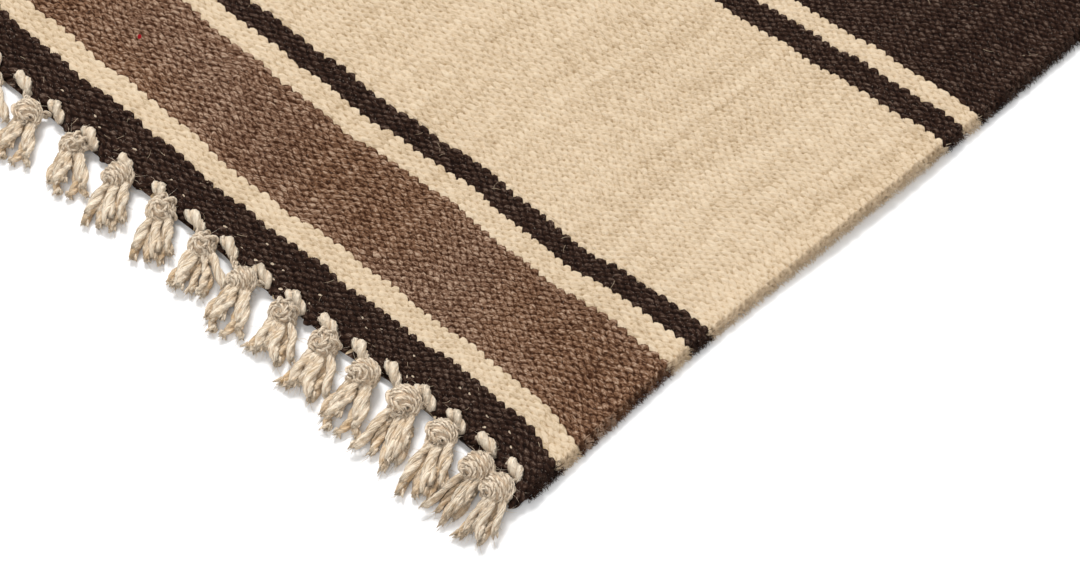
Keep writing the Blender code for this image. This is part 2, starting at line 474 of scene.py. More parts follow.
@dataclass(frozen=True)
class Weave:
    """The beads of a weft-faced plain weave, as a lattice that wanders a little over the cloth.

    A bead stands wherever its warp number and its row number add up to an even number. Where two beads
    meet, the higher one shows.
    """

    rug: RugShape
    stripes: Stripes = Stripes()
    bead_height: float = 0.00105
    bead_fall: float = 1.50
    bead_slant: float = 0.10
    dark_bonus: float = 0.22
    dark_fall: float = 0.35
    dark_rise: float = 0.15
    wander_fade: Pair = (0.50, 0.30)
    slow: tuple[Ripple, Ripple] = (Ripple(1.1, 0.0215, 0.060, 0.4), Ripple(0.6, 0.0123, -0.041))
    quick: tuple[Ripple, Ripple] = (Ripple(0.45, 0.0051, 0.017), Ripple(0.25, 0.0029, -0.012))
    row_jitter: tuple[Ripple, Ripple] = (Ripple(0.22, 0.0011, 0.0017), Ripple(1.0, 0.0023, -0.0013))
    warp_jitter: tuple[Ripple, Ripple] = (Ripple(0.19, 0.0031, 0.0012), Ripple(1.0, -0.0019, 0.0027))
    slow_start: Pair = (0.0, 0.030)
    corner_rise: float = 2.6
    rise_inward: Pair = (0.060, 0.0)
    rise_along: Pair = (0.030, 0.075)
    corner_fall: float = 1.6
    fall_inward: float = 0.008
    fall_along: Pair = (0.050, 0.018)
    crowding: float = 7.0
    crowd_start: Pair = (0.020, 0.115)
    crowd_end: Pair = (0.374, 0.125)
    swing: float = 0.55
    swing_from: float = 0.107
    swing_length: float = 0.080
    swing_inward: Pair = (0.010, 0.050)
    swing_along: Pair = (0.010, 0.040)
    bead_size: float = 0.86
    bead_variety: float = 0.28
    dark_middle: float = 0.6
    bead_middle: float = 0.80

    def lattice(self, x: np.ndarray, y: np.ndarray, across: np.ndarray) -> tuple[np.ndarray, np.ndarray]:
        """Return the warp and row numbers at places on the flat cloth.

        Args:
            x: Flat X.
            y: Flat Y.
            across: The length along the weft, over the top and round the selvedges.

        Returns:
            The warp numbers and the row numbers, which aren't whole between the beads.
        """
        half = np.where(y < 0, 1.0, -1.0)
        turned = x * half
        depth = self.rug.length / 2 - np.abs(y)
        inward = self.rug.width / 2 - np.abs(x)
        slow = self.slow[0].at(turned, depth) + self.slow[1].at(turned, depth)
        quick = self.quick[0].at(turned, depth) + self.quick[1].at(turned, depth)
        rise = self.corner_rise * smooth_step(*self.rise_inward, inward)
        rise = rise * smooth_step(*self.rise_along, depth)
        drop = self.corner_fall * np.exp(-inward / self.fall_inward) * smooth_step(*self.fall_along, depth)
        away = smooth_step(*self.wander_fade, depth)
        wander = MM * (slow * smooth_step(*self.slow_start, depth) + quick + rise - drop) * away
        from_end = (depth - wander) / self.rug.pick_pitch
        row = np.where(y < 0, from_end, self.rug.pick_count - from_end)
        row = row + self.row_jitter[0].at(x, y) * self.row_jitter[1].at(x, y)
        crowd = self.crowding * smooth_step(*self.crowd_start, inward) * smooth_step(*self.crowd_end, inward)
        swing = self.swing * np.sin(2 * math.pi * (depth - self.swing_from) / self.swing_length)
        swing = swing * smooth_step(*self.swing_inward, inward) * smooth_step(*self.swing_along, depth) * away
        warp = across / self.rug.warp_pitch + np.where(x < 0, crowd, -crowd) + swing * half
        warp = warp + self.warp_jitter[0].at(x, y) * self.warp_jitter[1].at(x, y)
        return warp, row

    def relief(self, warp: np.ndarray, row: np.ndarray) -> np.ndarray:
        """Return the height of the beads over the cloth's middle surface."""
        first = (warp + row) / 2
        second = (warp - row) / 2
        highest = np.zeros_like(first)
        for step_first, step_second in ((0, 0), (1, 0), (0, 1)):
            bead_first = np.round(first)
            bead_second = np.round(second)
            bead_first = bead_first + step_first * np.sign(first - bead_first)
            bead_second = bead_second + step_second * np.sign(second - bead_second)
            across = (first - bead_first) + (second - bead_second)
            along = (first - bead_first) - (second - bead_second) - self.bead_slant * across
            dark = self.stripes.dark_at(bead_first - bead_second, self.rug.pick_count)
            fall = self.bead_fall * (1.0 + self.dark_fall * dark) * (across**2 + along**2)
            dome = np.sqrt(np.maximum(0.0, 1.0 + self.dark_bonus * dark - fall))
            odd = np.sin(12.9898 * bead_first + 78.233 * bead_second) * 43758.5453
            size = self.bead_size + self.bead_variety * (odd - np.floor(odd))
            size = size + self.dark_rise * dark * (dome - self.dark_middle)
            highest = np.maximum(highest, dome * size)
        return self.bead_height * (highest - self.bead_middle)


class Fibre(Enum):
    """The wools that the weft is spun from."""

    CREAM = "cream"
    BROWN = "brown"
    DARK = "dark"


@dataclass(frozen=True)
class Wool:
    """One wool's colours, and how strongly they mix; the darkest is also the painted shade in pits."""

    base: Colour
    light: Colour
    # The darkest colour: darker fibres, and the painted shade in the pits between the beads.
    dark_and_shade: Colour
    mixing: float


@dataclass(frozen=True)
class BeadPattern:
    """What the shader knows about the bead that shows at a place."""

    warp: Value
    row: Value
    dome: Value
    dark: Value


@dataclass(frozen=True)
class WovenWool:
    """The finish of the cloth: beads of spun wool in stripes, with painted shade between the beads."""

    rug: RugShape
    weave: Weave
    wools: dict[Fibre, Wool] = field(
        default_factory=lambda: {
            Fibre.CREAM: Wool(
                base=(0.612, 0.480, 0.331, 1),
                light=(0.735, 0.615, 0.458, 1),
                dark_and_shade=(0.330, 0.225, 0.120, 1),
                mixing=0.76,
            ),
            Fibre.BROWN: Wool(
                base=(0.180, 0.091, 0.049, 1),
                light=(0.430, 0.305, 0.215, 1),
                dark_and_shade=(0.038, 0.014, 0.006, 1),
                mixing=1.80,
            ),
            Fibre.DARK: Wool(
                base=(0.033, 0.0158, 0.0100, 1),
                light=(0.160, 0.110, 0.083, 1),
                dark_and_shade=(0.009, 0.0038, 0.0024, 1),
                mixing=1.18,
            ),
        }
    )
    grey_brown: Colour = (0.171, 0.092, 0.056, 1)
    fleck: Colour = (0.620, 0.500, 0.370, 1)
    fleck_size: float = 0.062
    fleck_rarity: float = 0.90
    fleck_rows: Pair = (1.5, 9.5)
    fleck_inward: float = 6.0
    light_hair: Colour = (0.34, 0.28, 0.23, 1)
    red: Colour = (0.230, 0.006, 0.010, 1)
    red_place: Pair = (213.0, 33.0)
    fibre_turn: float = math.radians(13)
    sheen: float = 0.015

    def within(self, row: Value, spans: tuple[tuple[int, int], ...]) -> Value:
        """Return 1 where a whole row number lies in one of the spans, and else 0."""
        folded = row.least(self.rug.pick_count - 1.0 - row)
        found = None
        for low, high in spans:
            inside = (folded > low - 0.5) * (folded < high - 0.5)
            found = inside if found is None else found + inside
        return found

    def bead(self, warp: Value, row: Value) -> BeadPattern:
        """Find the bead that shows at a place.

        Args:
            warp: The place's warp number.
            row: The place's row number.

        Returns:
            The bead's own numbers, its dome, and whether it is dark.
        """
        first = (warp + row) * 0.5
        second = (warp - row) * 0.5
        near_first = first.nearest()
        near_second = second.nearest()
        turn_first = (first - near_first).sign()
        turn_second = (second - near_second).sign()
        best = None
        for step_first, step_second in ((0, 0), (1, 0), (0, 1)):
            bead_first = near_first + turn_first if step_first else near_first
            bead_second = near_second + turn_second if step_second else near_second
            off_first = first - bead_first
            off_second = second - bead_second
            across = off_first + off_second
            along = off_first - off_second - self.weave.bead_slant * across
            dark = self.within(bead_first - bead_second, self.weave.stripes.dark)
            steep = (1.0 + self.weave.dark_fall * dark) * self.weave.bead_fall
            fall = (across * across + along * along) * steep
            height = 1.0 + self.weave.dark_bonus * dark - fall
            found = (height, bead_first, bead_second, dark)
            if best is None:
                best = found
            else:
                wins = height > best[0]
                best = (height.most(best[0]), *(b + (f - b) * wins for f, b in zip(found[1:], best[1:])))
        height, bead_first, bead_second, dark = best
        return BeadPattern(bead_first + bead_second, bead_first - bead_second, height.most(0.0).root(), dark)

    def warp_flecks(self, board: Board, warp: Value, row: Value) -> Value:
        """Return 1 where the cream warp shows in a pit of the end band, and else 0."""
        first = (warp + row) * 0.5 - 0.5
        second = (warp - row) * 0.5 - 0.5
        pit_first = first.nearest()
        pit_second = second.nearest()
        off_first = first - pit_first
        off_second = second - pit_second
        chance = board.chance(board.vector(pit_first, pit_second, 3.0))
        ragged = board.noise(board.vector(warp * 2.0, row * 2.0, 9.0), 1.0, 2.0)
        near = (off_first * off_first + off_second * off_second) < ragged * self.fleck_size
        pit_row = pit_first - pit_second
        folded = pit_row.least(self.rug.pick_count - 1.0 - pit_row)
        across = warp.least(self.rug.width / self.rug.warp_pitch - warp)
        first_row, last_row = self.fleck_rows
        shown = near * (chance > self.fleck_rarity) * (folded < last_row) * (folded > first_row)
        return shown * (across > self.fleck_inward)

    def material(self) -> bpy.types.Material:
        """Return the cloth's material."""
        board = Board("woven_wool")
        lattice = board.node("ShaderNodeUVMap", {"uv_map": "weave"}, {})
        warp, row, _ = board.parts(Value(board, lattice.outputs[0]))
        bead = self.bead(warp, row)
        brown = self.within(bead.row, self.weave.stripes.brown)
        x = warp * (self.rug.warp_pitch / MM)
        y = row * (self.rug.pick_pitch / MM)
        run = x * math.cos(self.fibre_turn) + y * math.sin(self.fibre_turn)
        side = y * math.cos(self.fibre_turn) - x * math.sin(self.fibre_turn)

        chance = board.chance(board.vector(bead.warp, bead.row))
        streak = board.noise(board.vector(warp * 0.027, bead.row * 3.7), 1.0, 3.0)
        column = board.noise(board.vector(bead.warp * 2.3, row * 0.012, 21.0), 1.0, 2.0)
        cloudy = board.noise(board.vector(warp * 0.030, row * 0.020), 1.0, 2.0)
        strands = board.noise(board.vector(run * 0.55, side * 1.35, chance * 3.0), 1.0, 2.0, 0.6)
        hairs = board.noise(board.vector(run * 0.9, side * 3.2, 5.0), 1.0, 2.0, 0.7)
        specks = board.noise(board.vector(x * 1.6, y * 2.4, 11.0), 1.0, 1.0, 0.5)

        wool = (strands - 0.5) * 2.4 + (hairs - 0.5) * 2.0
        broad = (chance - 0.5) * 0.30 + (streak - 0.5) * 0.55 + (cloudy - 0.5) * 0.25 + (column - 0.5) * 1.20
        # Painted shade: each wool is pulled towards its darkest colour away from the bead's crest, in the pits.
        pit_shade = {
            Fibre.CREAM: bead.dome.span(0.60, 0.05) * 0.45,
            Fibre.BROWN: bead.dome.span(0.80, 0.30) * 0.95,
            Fibre.DARK: bead.dome.span(0.98, 0.50) * 0.85,
        }
        browns = board.mix(cloudy.span(0.42, 0.62), self.wools[Fibre.BROWN].base, self.grey_brown)
        dressed = {}
        for fibre, kind in self.wools.items():
            tone = wool * kind.mixing + broad - pit_shade[fibre]
            base = browns if fibre is Fibre.BROWN else kind.base
            lighter = board.mix(tone, base, kind.light)
            dressed[fibre] = board.mix(0.0 - tone, lighter, kind.dark_and_shade)
        colour = board.mix(brown, dressed[Fibre.CREAM], dressed[Fibre.BROWN])
        colour = board.mix(bead.dark, colour, dressed[Fibre.DARK])
        light_hairs = specks.span(0.66, 0.74) * (0.35 * brown + 0.50 * bead.dark)
        colour = board.mix(light_hairs, colour, self.light_hair)
        colour = board.mix(self.warp_flecks(board, warp, row), colour, self.fleck)
        aside_red = (warp - self.red_place[0]) * 1.8
        along_red = row - self.red_place[1]
        colour = board.mix((aside_red * aside_red + along_red * along_red) < 0.36, colour, self.red)

        _, relief = board.attribute("relief")
        height = (1.0 - relief) * bead.dome * 0.9 + strands * 0.35 + hairs * 0.22
        board.finish(colour, 0.86 + 0.12 * strands, height, MM, self.sheen)
        return board.material


@dataclass
class Cloth:
    """The cloth, made as panels that meet at the edges of stripes, with real beads near one corner."""

    rug: RugShape
    weave: Weave
    panels: tuple[tuple[str, int, int], ...] = (
        ("kilim_end_panel", 0, 64),
        ("kilim_cream_field", 64, 150),
        ("kilim_main_field", 150, 814),
    )
    warps_a_cell: int = 3
    picks_a_cell: int = 4
    cuts: int = 11
    rim_cells: int = 2
    beads_reach: float = 0.284
    beads_slope: float = 1.026
    beads_at_end: float = 0.306
    beads_fade: float = 0.006
    beads_turn: Pair = (-0.95, -0.35)
    round_turn: float = math.radians(84)
    scallop: float = 0.0022
    scallop_along: Pair = (0.0065, 0.0)
    tail: float = 0.0045
    tail_along: Pair = (0.024, 0.0)
    tail_inward: Pair = (0.026, 0.004)
    cord_height: float = 0.0012
    cord_reach: Pair = (0.0085, 0.0025)
    cap_corners: int = 100

    @property
    def half_thickness(self) -> float:
        """Return the radius of the selvedges and ends."""
        return self.rug.thickness / 2

    @property
    def top_cells(self) -> int:
        """Return how many cells the top has across."""
        return self.rug.warp_count // self.warps_a_cell

    def ring(self, share: np.ndarray) -> tuple[np.ndarray, np.ndarray, np.ndarray]:
        """Follow the cloth's section round, from the middle of the underside and back to it.

        Args:
            share: Places round the section, from -1 to 1.

        Returns:
            The X of the middle line, the angle of the outward normal, and the length along the weft.
        """
        under = self.top_cells // 2
        cells = 2 * under + 2 * self.rim_cells + self.top_cells
        marks = np.cumsum([0, under, self.rim_cells, self.top_cells, self.rim_cells, under])
        half = self.rug.width / 2 - self.half_thickness
        rim = math.pi * self.half_thickness
        place = (share + 1) / 2 * cells
        middle = np.interp(place, marks, [0, -half, -half, half, half, 0])
        turn = np.interp(place, marks, np.radians([-90, -90, -270, -270, -450, -450]))
        starts = [-half - rim, -rim, 0, 2 * half, 2 * half + rim, 3 * half + rim]
        return middle, turn, np.interp(place, marks, starts) + self.half_thickness

    def rows(self, first: int, last: int) -> np.ndarray:
        """Return the flat Y of a panel's cross lines.

        Args:
            first: The panel's first pick.
            last: The pick after its last one.

        Returns:
            The places, with a short first or last cell where an end is rounded.
        """
        low = first * self.rug.pick_pitch - self.rug.length / 2
        high = last * self.rug.pick_pitch - self.rug.length / 2
        ends = [low] if first == 0 else []
        start = low + self.half_thickness if first == 0 else low
        stop = high - self.half_thickness if last == self.rug.pick_count else high
        count = round((last - first) / self.picks_a_cell)
        lines = list(np.linspace(start, stop, count + 1))
        return np.array(ends + lines + ([high] if last == self.rug.pick_count else []))

    def beads_share(self, x: np.ndarray, y: np.ndarray, turn: np.ndarray) -> np.ndarray:
        """Return how much of the beads' height is real at places on the cloth, from 0 to 1."""
        inward = self.rug.width / 2 - x
        depth = y + self.rug.length / 2
        reach = np.minimum(self.beads_reach, self.beads_at_end - self.beads_slope * depth)
        upper = smooth_step(*self.beads_turn, np.sin(turn))
        return smooth_step(0.0, self.beads_fade, reach - inward) * upper

    def end_bulge(self, x: np.ndarray, y: np.ndarray) -> np.ndarray:
        """Return how far the end bulges out between the tassels' loops."""
        side = np.where(y < 0, 1.0, -1.0)
        roots = [place.x for place in self.rug.spread(LOOPS)]
        count = np.interp(side * x, roots, np.arange(len(roots)), left=-0.5, right=len(roots) - 0.5)
        depth = self.rug.length / 2 - np.abs(y)
        nearness = smooth_step(*self.scallop_along, depth)
        corner = smooth_step(*self.tail_along, depth)
        corner = corner * smooth_step(*self.tail_inward, self.rug.width / 2 - side * x)
        return -side * (self.tail * corner - self.scallop * nearness * np.cos(2 * math.pi * count))

    def panel(self, name: str, first: int, last: int) -> bpy.types.Object:
        """Build one panel of the cloth as a closed sheet.

        Args:
            name: The panel's name.
            first: Its first pick.
            last: The pick after its last one.

        Returns:
            The panel.
        """
        lines = self.rows(first, last)
        across_cells = 2 * (self.top_cells // 2) + 2 * self.rim_cells + self.top_cells
        along_cells = len(lines) - 1
        deselect_all()
        bpy.ops.mesh.primitive_grid_add(x_subdivisions=across_cells, y_subdivisions=along_cells, size=2)
        sheet = bpy.context.object
        sheet.name = name
        sheet.data.name = name
        self.refine(sheet, lines)
        self.shape_panel(sheet.data, lines)
        self.close_panel(sheet)
        log.info("%s: picks %d to %d, %d faces", name, first, last, len(sheet.data.polygons))
        return sheet

    def refine(self, sheet: bpy.types.Object, lines: np.ndarray) -> None:
        """Cut the flat grid finely where the beads are real."""
        mesh = sheet.data
        centres = np.array([face.center for face in mesh.polygons])
        middle, turn, _ = self.ring(centres[:, 0])
        x = middle + self.half_thickness * np.cos(turn)
        y = np.interp((centres[:, 1] + 1) / 2 * (len(lines) - 1), np.arange(len(lines)), lines)
        inside = self.beads_share(x + 0.5 * self.warps_a_cell * self.rug.warp_pitch, y, turn) > 0
        for item in (mesh.vertices, mesh.edges):
            item.foreach_set("select", np.zeros(len(item), dtype=bool))
        mesh.polygons.foreach_set("select", inside)
        if not inside.any():
            return
        bpy.ops.object.mode_set(mode="EDIT")
        bpy.ops.mesh.select_mode(type="FACE")
        bpy.ops.mesh.subdivide(number_cuts=self.cuts)
        bpy.ops.object.mode_set(mode="OBJECT")

    def shape_panel(self, mesh: bpy.types.Mesh, lines: np.ndarray) -> None:
        """Wrap the flat grid round the cloth's section, raise its beads and store its lattice."""
        grid = coordinates(mesh)
        middle, turn, across = self.ring(grid[:, 0])
        y = np.interp((grid[:, 1] + 1) / 2 * (len(lines) - 1), np.arange(len(lines)), lines)
        half = self.half_thickness
        x = middle + half * np.cos(turn)
        warp, row = self.weave.lattice(x, y, across)
        share = self.beads_share(x, y, turn)
        inward = self.rug.width / 2 - np.abs(x)
        cord = self.cord_height / 2 * smooth_step(*self.cord_reach, inward)
        half = half + cord
        radius = half + share * self.weave.relief(warp, row)
        end = self.half_thickness
        over = np.clip((np.abs(y) - (self.rug.length / 2 - end)) / end, 0.0, 1.0) * self.round_turn
        flat_y = np.clip(y, end - self.rug.length / 2, self.rug.length / 2 - end)
        out_y = np.sign(y) * radius * np.sin(over)
        placed = np.empty_like(grid)
        placed[:, 0] = (middle + (radius - cord) * np.cos(over) * np.cos(turn)) * self.rug.side_stretch(x, y)
        placed[:, 1] = flat_y * self.rug.end_stretch(x, flat_y) + out_y + self.end_bulge(x, y)
        placed[:, 2] = self.rug.lift(x, flat_y) + half + radius * np.cos(over) * np.sin(turn)
        placed[:, 2] = np.maximum(placed[:, 2], 0.0)
        corners = np.empty(len(mesh.loops), dtype=np.int32)
        mesh.loops.foreach_get("vertex_index", corners)
        layer = mesh.uv_layers.active or mesh.uv_layers.new()
        layer.name = "weave"
        layer.data.foreach_set("uv", np.column_stack((warp, row))[corners].astype(np.float32).ravel())
        set_attribute(mesh, "relief", share)
        set_coordinates(mesh, placed)

    def close_panel(self, sheet: bpy.types.Object) -> None:
        """Merge the seam under the cloth, cap the panel's ends and shade it smooth."""
        select_only(sheet)
        close_mesh(merge=1e-6)
        bpy.ops.object.shade_smooth()
        for face in sheet.data.polygons:
            if len(face.vertices) > self.cap_corners:
                face.use_smooth = False

    def build(self, material: bpy.types.Material) -> list[bpy.types.Object]:
        """Args:
            material: The cloth's material.

        Returns:
            The panels.
        """
        made = []
        for name, first, last in self.panels:
            sheet = self.panel(name, first, last)
            sheet.data.materials.clear()
            sheet.data.materials.append(material)
            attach(sheet, "root")
            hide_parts("rug_cloth")
            made.append(sheet)
        return made


# --- Yarn ----------------------------------------------------------------------------------------------


@dataclass(frozen=True)
class Yarn:
    """Plied yarn: plies that wind round each other, drawn along a guide."""

    thickness: float
    plies: int = 2
    sides: int = 6
    steps_a_turn: int = 8
    turn_length: float = 0.0075
    parting: float = 0.25
    phase: float = 0.0

    def template(self, length: float) -> bpy.types.Object:
        """Model a straight length of the yarn along X.

        Args:
            length: Its length.

        Returns:
            The yarn, closed at both ends, with its attributes stored.
        """
        plied = self.plies > 1
        turns = max(1, round(length / self.turn_length))
        offset = self.parting * self.thickness if plied else 0.0
        radius = 0.5 * self.thickness - 0.85 * offset
        angles = [2 * math.pi * ply / self.plies + self.phase for ply in range(self.plies)]
        centres = [(offset * math.cos(angle), offset * math.sin(angle)) for angle in angles]
        circles = []
        for across, up in centres:
            deselect_all()
            bpy.ops.mesh.primitive_circle_add(
                vertices=self.sides,
                radius=radius,
                location=(0.0, across, up),
                rotation=(0.0, math.pi / 2, 0.0),
            )
            circles.append(bpy.context.object)
        yarn = join_all(circles, "yarn")
        bpy.ops.object.transform_apply(location=True, rotation=True, scale=True)
        profile = coordinates(yarn.data)
        steps = self.steps_a_turn * turns if plied else max(3, self.steps_a_turn)
        twist = yarn.modifiers.new("twist", "SCREW")
        twist.axis = "X"
        twist.angle = 2 * math.pi * turns if plied else 0.0
        twist.screw_offset = length
        twist.steps = steps
        twist.render_steps = steps
        twist.use_normal_calculate = True
        bpy.ops.object.modifier_apply(modifier=twist.name)
        points = coordinates(yarn.data)
        local = profile[:, 1:] - np.repeat(centres, self.sides, axis=0)
        # Painted shade: points nearer the yarn's axis, between the plies, are darkened by the fringe material.
        inner = 1.0 - np.linalg.norm(profile[:, 1:], axis=1) / (offset + radius)
        copies = len(points) // len(profile)
        place = np.column_stack((points[:, 0], np.tile(local, (copies, 1))))
        set_attribute(yarn.data, "place", place)
        set_attribute(yarn.data, "crevice_shade", np.tile(inner, copies))
        close_mesh()
        return yarn

    def lay(self, guide: list[Vector], sizes: list[float], golden_and_shade: float, grey: float) -> bpy.types.Object:
        """Draw the yarn along a guide.

        Args:
            guide: The guide's points.
            sizes: The yarn's thickness at each point, as a share of its own.
            golden_and_shade: How far the yarn's colour goes towards tan, from 0 to 1: its own tone, or painted
                shade.
            grey: How grey the yarn is, from 0 to 1.

        Returns:
            The laid yarn.
        """
        curve = bpy.data.curves.new("guide", "CURVE")
        curve.dimensions = "3D"
        curve.resolution_u = 8
        curve.use_radius = True
        curve.use_stretch = True
        curve.use_deform_bounds = True
        spline = curve.splines.new("NURBS")
        spline.points.add(len(guide) - 1)
        for point, place, size in zip(spline.points, guide, sizes):
            point.co = (*place, 1.0)
            point.radius = size
        spline.order_u = min(4, len(guide))
        spline.use_endpoint_u = True
        length = spline.calc_length()
        holder = bpy.data.objects.new("guide", curve)
        bpy.context.scene.collection.objects.link(holder)
        yarn = self.template(length)
        bend = yarn.modifiers.new("lay", "CURVE")
        bend.object = holder
        bend.deform_axis = "POS_X"
        bpy.ops.object.modifier_apply(modifier=bend.name)
        bpy.data.objects.remove(holder)
        bpy.data.curves.remove(curve)
        count = len(yarn.data.vertices)
        set_attribute(yarn.data, "strand", np.tile((golden_and_shade, grey, 0.0), (count, 1)))
        return yarn


def hair_yarn(thickness: float) -> Yarn:
    """Return the yarn of a single fine hair."""
    return Yarn(thickness, plies=1, sides=3, steps_a_turn=3)


def keep_mesh(items: list[bpy.types.Object], name: str) -> bpy.types.Mesh:
    """Join modelled pieces into one mesh that rows of copies are made from."""
    joined = join_all(items, name)
    mesh = joined.data
    bpy.data.objects.remove(joined)
    return mesh


def place_copy(mesh: bpy.types.Mesh, name: str, *steps: Matrix) -> bpy.types.Object:
    """Place a copy of a mesh.

    Args:
        mesh: The mesh to copy.
        name: The copy's name.
        steps: The moves and turns, with the last one made first.

    Returns:
        The copy, with its place in its mesh.
    """
    copy = mesh.copy()
    whole = Matrix.Identity(4)
    for step in steps:
        whole = whole @ step
    copy.transform(whole)
    item = bpy.data.objects.new(name, copy)
    bpy.context.scene.collection.objects.link(item)
    return item


@dataclass
class Tapers:
    """Fine tapered fibres, each modelled once along +X and copied to wherever one is needed."""

    yarn: Yarn
    length: float = 3.0 * MM
    forms: int = 6
    curl: float = 0.22
    golden_and_shade: float = 0.10
    grey: float = 0.15
    clearance: float = 0.1 * MM
    meshes: list[bpy.types.Mesh] = field(init=False)

    def __post_init__(self) -> None:
        """Model the fibres."""
        dice = random.Random(self.forms)
        self.meshes = []
        for index in range(self.forms):
            bow = Vector((0.0, dice.uniform(-1.0, 1.0), dice.uniform(-1.0, 1.0))) * self.curl * self.length
            end = Vector((self.length, 0.0, 0.0))
            guide = [Vector((0.0, 0.0, 0.0)), 0.35 * end + bow, 0.70 * end + 0.6 * bow, end - 0.5 * bow]
            laid = self.yarn.lay(guide, [1.0, 0.95, 0.75, 0.30], self.golden_and_shade, self.grey)
            self.meshes.append(keep_mesh([laid], f"taper_{index}"))

    def place(self, root: Vector, way: Vector, dice: random.Random) -> bpy.types.Object:
        """Place a fibre, clear of the floor.

        Args:
            root: Where it starts.
            way: Its direction and its length.
            dice: What chooses its form and its roll.

        Returns:
            The fibre.
        """
        aim = way.to_track_quat("X", "Z").to_matrix().to_4x4()
        roll = Matrix.Rotation(dice.uniform(0.0, 2 * math.pi), 4, "X")
        stretch = Matrix.Diagonal((way.length / self.length, 1.0, 1.0, 1.0))
        fibre = place_copy(dice.choice(self.meshes), "fibre", Matrix.Translation(root), aim, roll, stretch)
        lowest = min(vertex.co.z for vertex in fibre.data.vertices)
        if lowest < self.clearance:
            fibre.data.transform(Matrix.Translation((0.0, 0.0, self.clearance - lowest)))
        return fibre


def declare(piece: bpy.types.Object, material: bpy.types.Material, node: str | None) -> None:
    """Args:
        piece: The piece.
        material: Its material.
        node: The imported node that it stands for, if it stands for one.
    """
    select_only(piece)
    piece.data.materials.clear()
    piece.data.materials.append(material)
    bpy.ops.object.shade_smooth()
    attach(piece, "root")
    if node:
        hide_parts(node)
    log.info("%s: %d triangles", piece.name, sum(len(face.vertices) - 2 for face in piece.data.polygons))


# --- The fringes ---------------------------------------------------------------------------------------


class Detail(Enum):
    """How finely a tassel is modelled."""

    FINE = "fine"
    PLAIN = "plain"


